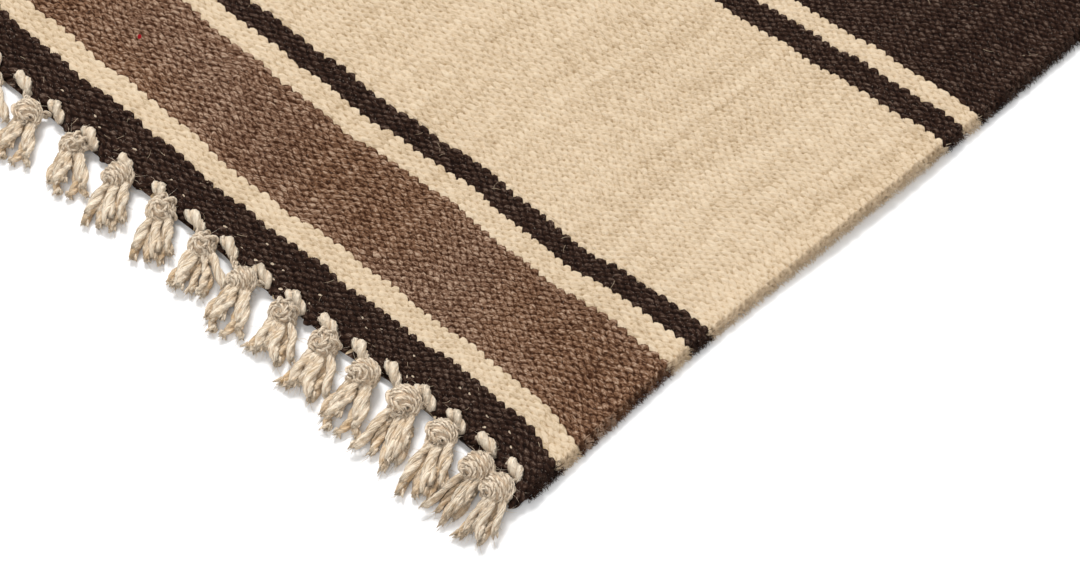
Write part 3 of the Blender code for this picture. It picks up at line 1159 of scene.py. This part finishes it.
@dataclass
class TasselForm:
    """The parts of one tassel. Each stands at the origin on the floor, +X along the edge, -Y outwards."""

    detail: Detail
    seed: int
    fuzz: Tapers
    frays: Tapers
    loop_thickness: float = 5.1 * MM
    loop_path: tuple[Triple, ...] = (
        (-4.4, 1.3, 2.0),
        (-3.9, 1.2, 3.4),
        (-1.6, 0.7, 4.6),
        (1.2, 0.1, 4.7),
        (3.7, -0.9, 3.9),
        (5.2, -2.2, 2.7),
    )
    loop_sizes: tuple[float, ...] = (0.50, 0.84, 1.04, 1.02, 0.78, 0.50)
    knot_rise: float = 5.5 * MM
    ball_radius: float = 4.2 * MM
    wind_radius: float = 4.45 * MM
    wind_thickness: float = 1.35 * MM
    brush_length: float = 22.5 * MM
    brush_heading: float = math.radians(28)
    brush_fan: float = math.radians(38)
    brush_strands: int = 8
    strand_reaches: tuple[float, ...] = (0.0, 0.26, 0.54, 0.80, 1.0)
    strand_sizes: tuple[float, ...] = (0.62, 0.92, 1.06, 1.04, 0.66)
    strand_sways: tuple[float, ...] = (0.8, 1.3, 1.8, 2.4)
    upper_heights: tuple[float, ...] = (5.2, 6.2, 5.4, 4.4, 3.4)
    lower_heights: tuple[float, ...] = (4.2, 3.6, 2.5, 2.2, 2.0)
    crossings: int = 5
    knot_hairs: int = 26
    tip_frays: int = 7
    dice: random.Random = field(init=False)

    def __post_init__(self) -> None:
        """Start the tassel's own run of random numbers."""
        self.dice = random.Random(self.seed * 7 + 3)

    @property
    def fine(self) -> bool:
        """Return whether the tassel is modelled finely."""
        return self.detail is Detail.FINE

    def stray(self, size: float) -> float:
        """Return a random number from -size to size."""
        return self.dice.uniform(-size, size)

    def yarn(self, thickness: float, turns: float, parting: float = 0.22) -> Yarn:
        """Return the yarn of a thickness at this tassel's detail.

        Args:
            thickness: Its thickness.
            turns: The length of one turn of its plies, as a multiple of its thickness.
            parting: How far its plies stand apart, as a share of its thickness.

        Returns:
            The yarn.
        """
        if not self.fine:
            return Yarn(thickness, plies=1, sides=5, steps_a_turn=5)
        phase = self.dice.uniform(0.0, math.pi)
        return Yarn(thickness, turn_length=turns * thickness, parting=parting, phase=phase)

    def hairs(
        self, root: Vector, aim: Vector, count: int, length: float, spread: float
    ) -> list[bpy.types.Object]:
        """Model fine hairs that stand out from a place.

        Args:
            root: Where they start.
            aim: Which way they point.
            count: How many there are.
            length: The longest one's length.
            spread: How far they spread, where 1 is as far as their length.

        Returns:
            The hairs.
        """
        made = []
        for _ in range(count if self.fine else 0):
            way = aim + Vector((self.stray(spread), self.stray(spread), self.stray(spread)))
            made.append(self.fuzz.place(root, way * length * self.dice.uniform(0.45, 1.0), self.dice))
        return made

    def loop(self) -> bpy.types.Mesh:
        """Model the fat yarn loop that lies on the edge like a grain."""
        guide = [MM * Vector((x + self.stray(0.3), y + self.stray(0.3), z)) for x, y, z in self.loop_path]
        made = [self.yarn(self.loop_thickness, 4.2, 0.17).lay(guide, list(self.loop_sizes), 0.0, 0.05)]
        for place in guide[1:5]:
            aim = Vector((self.stray(0.8), -0.4, 0.3))
            made += self.hairs(place + Vector((0, 0, 1.2 * MM)), aim, 2, 3 * MM, 0.8)
        return keep_mesh(made, f"loop_{self.detail.value}_{self.seed}")

    def ball(self, middle: Vector) -> bpy.types.Object:
        """Model the small ball inside the knot."""
        rounds = 20 if self.fine else 8
        deselect_all()
        bpy.ops.mesh.primitive_uv_sphere_add(
            segments=rounds, ring_count=rounds // 2, radius=self.ball_radius, location=middle
        )
        ball = bpy.context.object
        bpy.ops.object.transform_apply(location=True, rotation=True, scale=True)
        points = coordinates(ball.data)
        set_attribute(ball.data, "place", points - np.array(middle))
        # Painted shade at half strength over the whole ball, which sits inside the knot.
        set_attribute(ball.data, "crevice_shade", np.full(len(points), 0.5))
        set_attribute(ball.data, "strand", np.tile((0.25, 0.6, 0.0), (len(points), 1)))
        return ball

    def winding(self, middle: Vector, axis: Vector, side: Vector) -> bpy.types.Object:
        """Model the yarn that is wound round the ball.

        Args:
            middle: The ball's middle.
            axis: The axis that the yarn winds round.
            side: A direction square to the axis.

        Returns:
            The wound yarn.
        """
        up = axis.cross(side)
        turns = 9.0 if self.fine else 3.0
        count = round(turns * 9) if self.fine else 19
        sway = self.dice.uniform(0.14, 0.30)
        guide = []
        for step in range(count):
            share = step / (count - 1)
            polar = math.radians(7 + 166 * share)
            angle = 2 * math.pi * turns * share + self.seed
            wobble = 1.0 + self.stray(0.05)
            ring = (side * math.cos(angle) + up * math.sin(angle)) * math.sin(polar)
            slip = Matrix.Rotation(sway * math.sin(13.0 * share + self.seed), 3, side)
            guide.append(middle + slip @ (axis * math.cos(polar) + ring) * self.wind_radius * 1.05 * wobble)
        turn_length = 3.4 * self.wind_thickness
        winding = Yarn(self.wind_thickness, sides=5, steps_a_turn=5, turn_length=turn_length, parting=0.2)
        if not self.fine:
            winding = Yarn(1.6 * self.wind_thickness, plies=1, sides=4, steps_a_turn=24)
        return winding.lay(guide, [1.0] * count, 0.05, 0.55)

    def crossing(self, middle: Vector, axis: Vector, side: Vector) -> bpy.types.Object:
        """Model one yarn that crosses over the winding.

        Args:
            middle: The ball's middle.
            axis: The axis that the winding has.
            side: A direction square to the axis.

        Returns:
            The yarn.
        """
        up = axis.cross(side)
        twist = self.stray(1.4)
        first = self.dice.uniform(0.0, 0.25)
        last = self.dice.uniform(0.75, 1.0)
        guide = []
        for step in range(8):
            angle = math.pi * (first + (last - first) * step / 7)
            way = side * math.cos(twist + self.stray(0.06)) + up * math.sin(twist)
            way = axis * math.cos(angle) + way * math.sin(angle)
            guide.append(middle + way * self.wind_radius * (1.14 + self.stray(0.04)))
        yarn = self.yarn(self.dice.uniform(1.3, 2.2) * MM, 3.2)
        return yarn.lay(guide, [0.6] + [1.0] * 6 + [0.6], self.dice.uniform(0.0, 0.3), 0.5)

    def knot(self) -> bpy.types.Mesh:
        """Model the knot: yarn wound many times round a small ball."""
        middle = Vector((0.0, 0.0, self.knot_rise))
        tilt = math.radians(18 + 62 * ((self.seed * 0.37) % 1.0))
        heading = self.brush_heading + self.stray(0.5)
        level = math.cos(tilt)
        axis = Vector((math.sin(heading) * level, -math.cos(heading) * level, math.sin(tilt)))
        side = axis.orthogonal().normalized()
        made = [self.ball(middle), self.winding(middle, axis, side)]
        for _ in range(self.crossings if self.fine else 0):
            made.append(self.crossing(middle, axis, side))
        for _ in range(self.knot_hairs):
            way = Vector((self.stray(1.0), self.stray(1.0), self.dice.uniform(-0.3, 1.0))).normalized()
            made += self.hairs(middle + way * 4.7 * MM, way * 0.55, 1, 3.4 * MM, 0.9)
        return keep_mesh(made, f"knot_{self.detail.value}_{self.seed}")

    def strand(self, index: int) -> list[bpy.types.Object]:
        """Model one yarn end of the brush, with its frayed tip.

        Args:
            index: Its number, across the brush.

        Returns:
            The strand, its frayed plies and its hairs.
        """
        share = (index + 0.5) / self.brush_strands - 0.5
        upper = index % 2 == 1
        angle = self.brush_heading + share * self.brush_fan + self.stray(0.16)
        length = self.brush_length * self.dice.uniform(0.66, 0.95) * (0.90 if upper else 1.0)
        aim = Vector((math.sin(angle), -math.cos(angle), 0.0))
        beside = Vector((math.cos(angle), math.sin(angle), 0.0))
        start = aim * 1.2 * MM + beside * share * 5.0 * MM
        heights = self.upper_heights if upper else self.lower_heights
        sways = (0.0, *(self.stray(size) for size in self.strand_sways))
        guide = []
        for height, reach, sway in zip(heights, self.strand_reaches, sways):
            guide.append(start + aim * reach * length + beside * sway * MM + Vector((0.0, 0.0, height * MM)))
        # Painted shade: the lower strands, which lie under the upper ones, are made much more tan.
        golden_and_shade = self.dice.uniform(0.0, 0.15) if upper else self.dice.uniform(0.25, 0.70)
        thickness = self.dice.uniform(3.2, 4.4) * MM
        made = [self.yarn(thickness, 3.8, 0.18).lay(guide, list(self.strand_sizes), golden_and_shade, 0.06)]
        tip = guide[-1]
        for _ in range(self.tip_frays if self.fine else 0):
            root = tip - aim * 1.8 * MM + beside * self.stray(0.9) * MM
            root = root + Vector((0.0, 0.0, self.stray(0.6) * MM))
            fray = aim + beside * self.stray(0.45) + Vector((0.0, 0.0, self.stray(0.15)))
            made.append(self.frays.place(root, fray * self.dice.uniform(1.8, 3.4) * MM, self.dice))
        made += self.hairs(tip, aim, 5, 4.2 * MM, 0.7)
        for place in guide[1:4]:
            made += self.hairs(place, beside * self.dice.choice((-1, 1)) * 0.9 + aim * 0.3, 3, 3.6 * MM, 0.6)
        return made

    def brush(self) -> bpy.types.Mesh:
        """Model the yarn ends that fan out beyond the knot."""
        made = []
        for index in range(self.brush_strands):
            made += self.strand(index)
        return keep_mesh(made, f"brush_{self.detail.value}_{self.seed}")


@dataclass(frozen=True)
class FringeYarn:
    """The finish of the fringes: undyed plied wool, tan in patches and grey where it is handled.

    Painted shade makes the lower brush strands more tan and darkens the yarn between its plies.
    """

    cream: Colour = (0.950, 0.815, 0.640, 1)
    # The tan colour: the wool's own tone, and the painted shade on the lower brush strands.
    golden_and_shade: Colour = (0.620, 0.400, 0.195, 1)
    grey: Colour = (0.840, 0.700, 0.540, 1)
    # The dark colour of the painted shade between the plies and on the balls.
    dark_and_shade: Colour = (0.280, 0.135, 0.045, 1)
    sheen: float = 0.10

    def material(self) -> bpy.types.Material:
        """Return the fringes' material."""
        board = Board("fringe_yarn")
        place, _ = board.attribute("place")
        strand, _ = board.attribute("strand")
        _, crevice_shade = board.attribute("crevice_shade")
        along, side, rise = board.parts(place)
        golden_and_shade, grey, _ = board.parts(strand)
        fibres = board.noise(board.vector(along * 170.0, side * 1050.0, rise * 1050.0), 1.0, 3.0, 0.65)
        fluff = board.noise(board.vector(along * 420.0, side * 2400.0, rise * 2400.0), 1.0, 2.0, 0.65)
        everywhere = Value(board, board.node("ShaderNodeTexCoord", {}, {}).outputs["Object"])
        patches = board.noise(everywhere, 420.0, 2.0)
        clouds = board.noise(everywhere, 90.0, 2.0)
        # Each strand's tan share, which is painted shade on the lower brush strands, plus random patches.
        golden_and_shade_share = golden_and_shade + (patches - 0.5) * 1.5 + (clouds - 0.5) * 0.8
        colour = board.mix(golden_and_shade_share, self.cream, self.golden_and_shade)
        colour = board.mix(grey + (clouds - 0.5) * 0.4, colour, self.grey)
        # Painted shade between the plies, and on the ball inside each knot.
        colour = board.mix(crevice_shade.span(0.20, 0.85, 0.0, 0.80), colour, self.dark_and_shade)
        colour = board.mix((0.48 - fibres) * 4.0, colour, self.golden_and_shade)
        colour = board.mix((0.44 - fluff) * 3.5, colour, self.golden_and_shade)
        colour = board.scale_colour(colour, 0.28 + 0.80 * fibres + 0.75 * fluff)
        board.finish(colour, 0.86 + 0.12 * fibres, fibres + fluff * 0.6, 1.6 * MM, self.sheen)
        return board.material


@dataclass
class Fringes:
    """Both fringes: loops on the twisted edge, and knots with their brushes, along each end."""

    rug: RugShape
    fine_reach: float = 0.300
    fine_forms: int = 6
    plain_forms: int = 3
    knot_out: float = 6.3 * MM
    knot_drift: float = 1.2 * MM
    corner_reach: Pair = (0.060, 0.006)
    corner_slip: Pair = (1.6 * MM, -3.8 * MM)
    middle_reach: Pair = (0.180, 0.230)
    middle_slip: float = 3.6 * MM
    brush_reach: Pair = (0.84, 1.08)
    brush_room: float = 15.5 * MM
    near_reach: Pair = (0.120, 0.050)
    near_growth: float = 0.10
    loop_ahead: float = 6.0 * MM
    dice: random.Random = field(default_factory=lambda: random.Random(41))

    def forms(self) -> dict[Detail, list[dict[str, bpy.types.Mesh]]]:
        """Return the modelled loops, knots and brushes that the rows repeat."""
        fuzz = Tapers(hair_yarn(0.15 * MM))
        frays = Tapers(Yarn(1.25 * MM, plies=1, sides=4, steps_a_turn=3), golden_and_shade=0.25)
        made = {}
        for detail, count in ((Detail.FINE, self.fine_forms), (Detail.PLAIN, self.plain_forms)):
            made[detail] = []
            for seed in range(count):
                form = TasselForm(detail, seed, fuzz, frays)
                made[detail].append({"loop": form.loop(), "knot": form.knot(), "brush": form.brush()})
        return made

    def knot_places(self) -> list[Vector]:
        """Return the front knots' places on the floor."""
        places = []
        for index, root in enumerate(self.rug.spread(KNOTS)):
            out = self.knot_out + self.knot_drift * math.sin(12.9898 * (index + 1) + 78.233 * 2)
            inward = np.array(self.rug.width / 2 - root.x)
            slip = Vector((*self.corner_slip, 0.0)) * float(smooth_step(*self.corner_reach, inward))
            out = out + self.middle_slip * float(smooth_step(*self.middle_reach, inward))
            places.append(root + slip + Vector((0.0, -out, 0.0)))
        return places

    def neck(self, loop: Vector, knot: Vector, detail: Detail) -> list[bpy.types.Object]:
        """Lay the yarns that run from a loop's lower end to the knot that gathers it.

        Args:
            loop: The loop's place.
            knot: The knot's place.
            detail: How finely they are modelled.

        Returns:
            The yarns.
        """
        rise = Vector((0.0, 0.0, 1.0))
        middle = knot + rise * 4.2 * MM
        made = []
        for index in range(3 if detail is Detail.FINE else 1):
            spread = (index - 1) * 0.9 * MM
            start = loop + Vector((3.2 * MM, -1.6 * MM - spread * 0.4, (3.0 + 0.5 * index) * MM))
            if knot.x < loop.x - 2.0 * MM:
                start = loop + Vector((-0.5 * MM, -1.8 * MM, (2.2 + 0.5 * index) * MM))
            towards = (start - middle).normalized()
            end = middle + towards * 2.6 * MM + rise * spread
            sag = (start + end) / 2 - rise * self.dice.uniform(0.2, 1.0) * MM + Vector((0.0, -spread, 0.0))
            far = (start - end).length > 6.5 * MM
            thickness = (1.8 if far else 2.4) * MM
            yarn = Yarn(thickness, turn_length=3.2 * thickness, sides=5, steps_a_turn=6)
            if detail is Detail.PLAIN:
                yarn = Yarn(1.4 * thickness, plies=1, sides=5, steps_a_turn=3)
            made.append(yarn.lay([start, sag, end], [0.9, 1.0, 0.9], 0.15, 0.45))
        return made

    def choose(self, forms: dict, place: Vector, front: bool) -> tuple[Detail, dict[str, bpy.types.Mesh]]:
        """Return the detail that a place needs, and one of the forms that have it."""
        fine = front and self.rug.width / 2 - place.x < self.fine_reach
        detail = Detail.FINE if fine else Detail.PLAIN
        return detail, self.dice.choice(forms[detail])

    def place_loops(self, forms: dict, front: bool, half_turn: Matrix) -> list[bpy.types.Object]:
        """Place every loop of one end, with the yarns that run from it to its knot.

        Args:
            forms: The modelled forms.
            front: Whether this is the front end.
            half_turn: What turns the front end's places to this end.

        Returns:
            The placed loops and yarns.
        """
        knots = self.knot_places()
        placed = []
        for place in self.rug.spread(LOOPS):
            detail, form = self.choose(forms, place, front)
            raised = place + Vector((0.0, 0.0, single(self.rug.lift, place.x, place.y)))
            moved = Matrix.Translation(raised)
            turn = Matrix.Rotation(self.dice.uniform(-0.16, 0.16), 4, "Z")
            size = Matrix.Scale(self.dice.uniform(0.92, 1.06), 4)
            placed.append(place_copy(form["loop"], "loop", half_turn, moved, turn, size))
            knot = min(knots, key=lambda knot: abs(knot.x - place.x - self.loop_ahead))
            for yarn in self.neck(raised, knot, detail):
                yarn.data.transform(half_turn)
                placed.append(yarn)
        return placed

    def place_tassels(self, forms: dict, front: bool, half_turn: Matrix) -> tuple[list, list]:
        """Place every knot of one end, with the brush that comes out of it.

        Args:
            forms: The modelled forms.
            front: Whether this is the front end.
            half_turn: What turns the front end's places to this end.

        Returns:
            The placed knots and the placed brushes.
        """
        places = self.knot_places()
        knots = []
        brushes = []
        for place in places:
            detail, form = self.choose(forms, place, front)
            gap = min(abs(other.x - place.x) for other in places if other is not place)
            crowd = min(1.0, gap / self.brush_room)
            moved = Matrix.Translation(place)
            turn = Matrix.Rotation(self.dice.uniform(-0.25, 0.25), 4, "Z")
            near = float(smooth_step(*self.near_reach, np.array(self.rug.width / 2 - place.x)))
            size = Matrix.Scale(self.dice.uniform(0.94, 1.07) + self.near_growth * near, 4)
            knots.append(place_copy(form["knot"], "knot", half_turn, moved, turn, size))
            form = self.dice.choice(forms[detail])
            turn = Matrix.Rotation(self.dice.uniform(-0.14, 0.14), 4, "Z")
            width = Matrix.Diagonal((crowd, 1.0, 1.0, 1.0))
            reach = self.brush_reach[0] + (self.brush_reach[1] - self.brush_reach[0]) * near
            stretch = Matrix.Diagonal((1.0, reach * self.dice.uniform(0.92, 1.08), 1.0, 1.0))
            brushes.append(place_copy(form["brush"], "brush", half_turn, moved, turn, width, stretch))
        return knots, brushes

    def end_pieces(self, forms: dict, front: bool) -> dict[str, list[bpy.types.Object]]:
        """Return every placed copy of one end, by the piece that it belongs to."""
        half_turn = Matrix.Identity(4) if front else Matrix.Rotation(math.pi, 4, "Z")
        loops = self.place_loops(forms, front, half_turn)
        knots, brushes = self.place_tassels(forms, front, half_turn)
        return {"yarn_loops": loops, "tassel_knots": knots, "tassel_brushes": brushes}

    def build(self, finish: FringeYarn) -> list[bpy.types.Object]:
        """Args:
            finish: The fringes' finish.

        Returns:
            The pieces.
        """
        forms = self.forms()
        material = finish.material()
        made = []
        for front, end in ((True, "front"), (False, "back")):
            for kind, copies in self.end_pieces(forms, front).items():
                piece = join_all(copies, f"{kind}_{end}")
                points = coordinates(piece.data)
                points[:, 2] = np.maximum(points[:, 2], 0.0)
                set_coordinates(piece.data, points)
                declare(piece, material, f"fringe_{end}")
                made.append(piece)
        return made


# --- Loose hairs ---------------------------------------------------------------------------------------


@dataclass
class Hairs:
    """The wool's own fine hairs: along the selvedge near the front corner, and stray ones on the cloth."""

    rug: RugShape
    weave: Weave
    fuzz_count: int = 5200
    fuzz_reach: float = 0.330
    fuzz_bunching: float = 1.15
    cord_rise: float = 0.4 * MM
    cord_swell: float = 0.2 * MM
    colour_inward: float = 2 * MM
    stray_count: int = 60
    stray_warp: float = 150.0
    cream_row: float = 100.0
    stray_rows: tuple[tuple[int, int], ...] = ((0, 13), (0, 13), (0, 13), (57, 64), (164, 200))
    stray_inward: Pair = (0.006, 0.260)
    fuzz_angles: Pair = (-0.7, 1.45)
    fuzz_length: Pair = (0.9, 2.3)
    stray_length: Pair = (1.8, 4.5)
    stray_rise: float = 0.25 * MM
    dice: random.Random = field(default_factory=lambda: random.Random(77))

    def stray(self, size: float) -> float:
        """Return a random number from -size to size."""
        return self.dice.uniform(-size, size)

    def finish_piece(self, copies: list, name: str, material: bpy.types.Material) -> bpy.types.Object:
        """Join placed hairs into a piece.

        Args:
            copies: Each hair with the warp and row number that it takes its colour from.
            name: The piece's name.
            material: The cloth's material.

        Returns:
            The piece.
        """
        for item, warp, row in copies:
            layer = item.data.uv_layers.active or item.data.uv_layers.new()
            layer.name = "weave"
            layer.data.foreach_set("uv", np.tile((warp, row), len(item.data.loops)).astype(np.float32))
        piece = join_all([item for item, _, _ in copies], name)
        set_attribute(piece.data, "relief", np.ones(len(piece.data.vertices)))
        declare(piece, material, None)
        return piece

    def bead_near(self, x: float, y: float) -> Pair:
        """Return the whole warp and row number of the bead nearest to a place on the flat cloth."""
        warp, row = self.weave.lattice(np.array(x), np.array(y), np.array(x + self.rug.width / 2))
        first = round(float(warp + row) / 2)
        second = round(float(warp - row) / 2)
        return first + second, first - second

    def selvedge(self, material: bpy.types.Material) -> bpy.types.Object:
        """Scatter hairs round the right selvedge."""
        fibres = Tapers(hair_yarn(0.24 * MM))
        half = self.rug.thickness / 2
        flat = self.rug.width / 2
        copies = []
        for _ in range(self.fuzz_count):
            y = self.dice.random() ** self.fuzz_bunching * self.fuzz_reach - self.rug.length / 2
            x = flat * single(self.rug.side_stretch, flat, y)
            along = y * single(self.rug.end_stretch, flat, y)
            rise = single(self.rug.lift, flat, y) + half + self.cord_rise
            angle = self.dice.uniform(*self.fuzz_angles)
            radius = half + self.cord_swell
            root = Vector((x - half + radius * math.cos(angle), along, rise + radius * math.sin(angle)))
            out = Vector((math.cos(angle), self.stray(1.3), math.sin(angle) + self.stray(0.5)))
            way = out.normalized() * self.dice.uniform(*self.fuzz_length) * MM
            fibre = fibres.place(root, way, self.dice)
            copies.append((fibre, *self.bead_near(flat - self.colour_inward, y)))
        return self.finish_piece(copies, "selvedge_hairs", material)

    def strays(self, material: bpy.types.Material) -> bpy.types.Object:
        """Lay a few light hairs over the dark stripes."""
        fibres = Tapers(hair_yarn(0.13 * MM))
        copies = []
        for index in range(self.stray_count):
            low, high = self.stray_rows[index % len(self.stray_rows)]
            inward = self.dice.uniform(*self.stray_inward)
            x = self.rug.width / 2 - inward
            y = self.dice.uniform(low, high) * self.rug.pick_pitch - self.rug.length / 2
            rise = single(self.rug.lift, x, y) + self.rug.thickness + self.stray_rise
            root = Vector((x, y * single(self.rug.end_stretch, x, y), rise))
            way = Vector((self.stray(1.0), self.stray(1.0), 0.05)).normalized()
            way = way * self.dice.uniform(*self.stray_length) * MM
            copies.append((fibres.place(root, way, self.dice), self.stray_warp, self.cream_row))
        return self.finish_piece(copies, "stray_hairs", material)

    def build(self, material: bpy.types.Material) -> list[bpy.types.Object]:
        """Build the loose hairs.

        Args:
            material: The cloth's material.

        Returns:
            The pieces.
        """
        return [self.selvedge(material), self.strays(material)]


# --- The studio ----------------------------------------------------------------------------------------


@dataclass(frozen=True)
class Lamp:
    """A square soft light that shines on the rug's near corner."""

    away: Triple
    size: float
    power: float
    distance: float = 2.4
    aim: Triple = (0.25, -0.42, 0.0)

    def build(self) -> None:
        """Add the light."""
        away = Vector(self.away).normalized()
        bpy.ops.object.light_add(type="AREA", location=Vector(self.aim) + away * self.distance)
        light = bpy.context.object
        light.rotation_euler = away.to_track_quat("Z", "Y").to_euler()
        light.data.size = self.size
        light.data.energy = self.power


@dataclass(frozen=True)
class Studio:
    """A white floor, soft light and the camera."""

    floor_size: float = 8.0
    floor_colour: Colour = (0.98, 0.98, 0.98, 1)
    camera_place: Triple = (0.8861, -1.0500, 1.0122)
    camera_aim: Triple = (0.3219, -0.4714, 0.0034)
    lens: float = 133.3
    sensor: float = 36.0
    farthest: float = 50.0
    key: Lamp = Lamp(away=(-0.43, 0.32, 0.84), size=0.8, power=50.0)
    fill: Lamp = Lamp(away=(0.35, -0.62, 0.70), size=1.2, power=21.0)
    sky: float = 0.50

    def floor(self) -> bpy.types.Object:
        """Add the floor."""
        deselect_all()
        bpy.ops.mesh.primitive_plane_add(size=self.floor_size, location=(0.0, 0.0, 0.0))
        floor = bpy.context.object
        floor.name = "floor"
        material = bpy.data.materials.new("studio_floor")
        material.use_nodes = True
        shader = material.node_tree.nodes["Principled BSDF"]
        shader.inputs["Base Color"].default_value = self.floor_colour
        shader.inputs["Roughness"].default_value = 0.9
        shader.inputs["Specular IOR Level"].default_value = 0.1
        floor.data.materials.append(material)
        return floor

    def camera(self) -> None:
        """Add the camera and make it the scene's."""
        place = Vector(self.camera_place)
        turn = (Vector(self.camera_aim) - place).to_track_quat("-Z", "Y").to_euler()
        bpy.ops.object.camera_add(location=place, rotation=turn)
        camera = bpy.context.object
        camera.data.lens = self.lens
        camera.data.sensor_width = self.sensor
        camera.data.clip_end = self.farthest
        bpy.context.scene.camera = camera

    def lights(self) -> None:
        """Add the two lights and the white surroundings."""
        self.key.build()
        self.fill.build()
        world = bpy.data.worlds.new("surroundings")
        world.use_nodes = True
        sky = world.node_tree.nodes["Background"]
        sky.inputs["Color"].default_value = (1.0, 1.0, 1.0, 1.0)
        sky.inputs["Strength"].default_value = self.sky
        bpy.context.scene.world = world
        bpy.context.scene.view_settings.view_transform = "Standard"

    def build(self) -> None:
        """Set up the studio."""
        self.floor()
        self.camera()
        self.lights()


def main() -> None:
    """Build the rug's looks and the studio."""
    logging.basicConfig(level=logging.INFO, format="%(name)s: %(message)s")
    rug = RugShape()
    weave = Weave(rug)
    Studio().build()
    fringes = Fringes(rug).build(FringeYarn())
    wool = WovenWool(rug, weave).material()
    panels = Cloth(rug, weave).build(wool)
    hairs = Hairs(rug, weave).build(wool)
    log.info("%d pieces of fringe, %d panels, %d of loose hairs", len(fringes), len(panels), len(hairs))


if __name__ == "__main__":
    main()
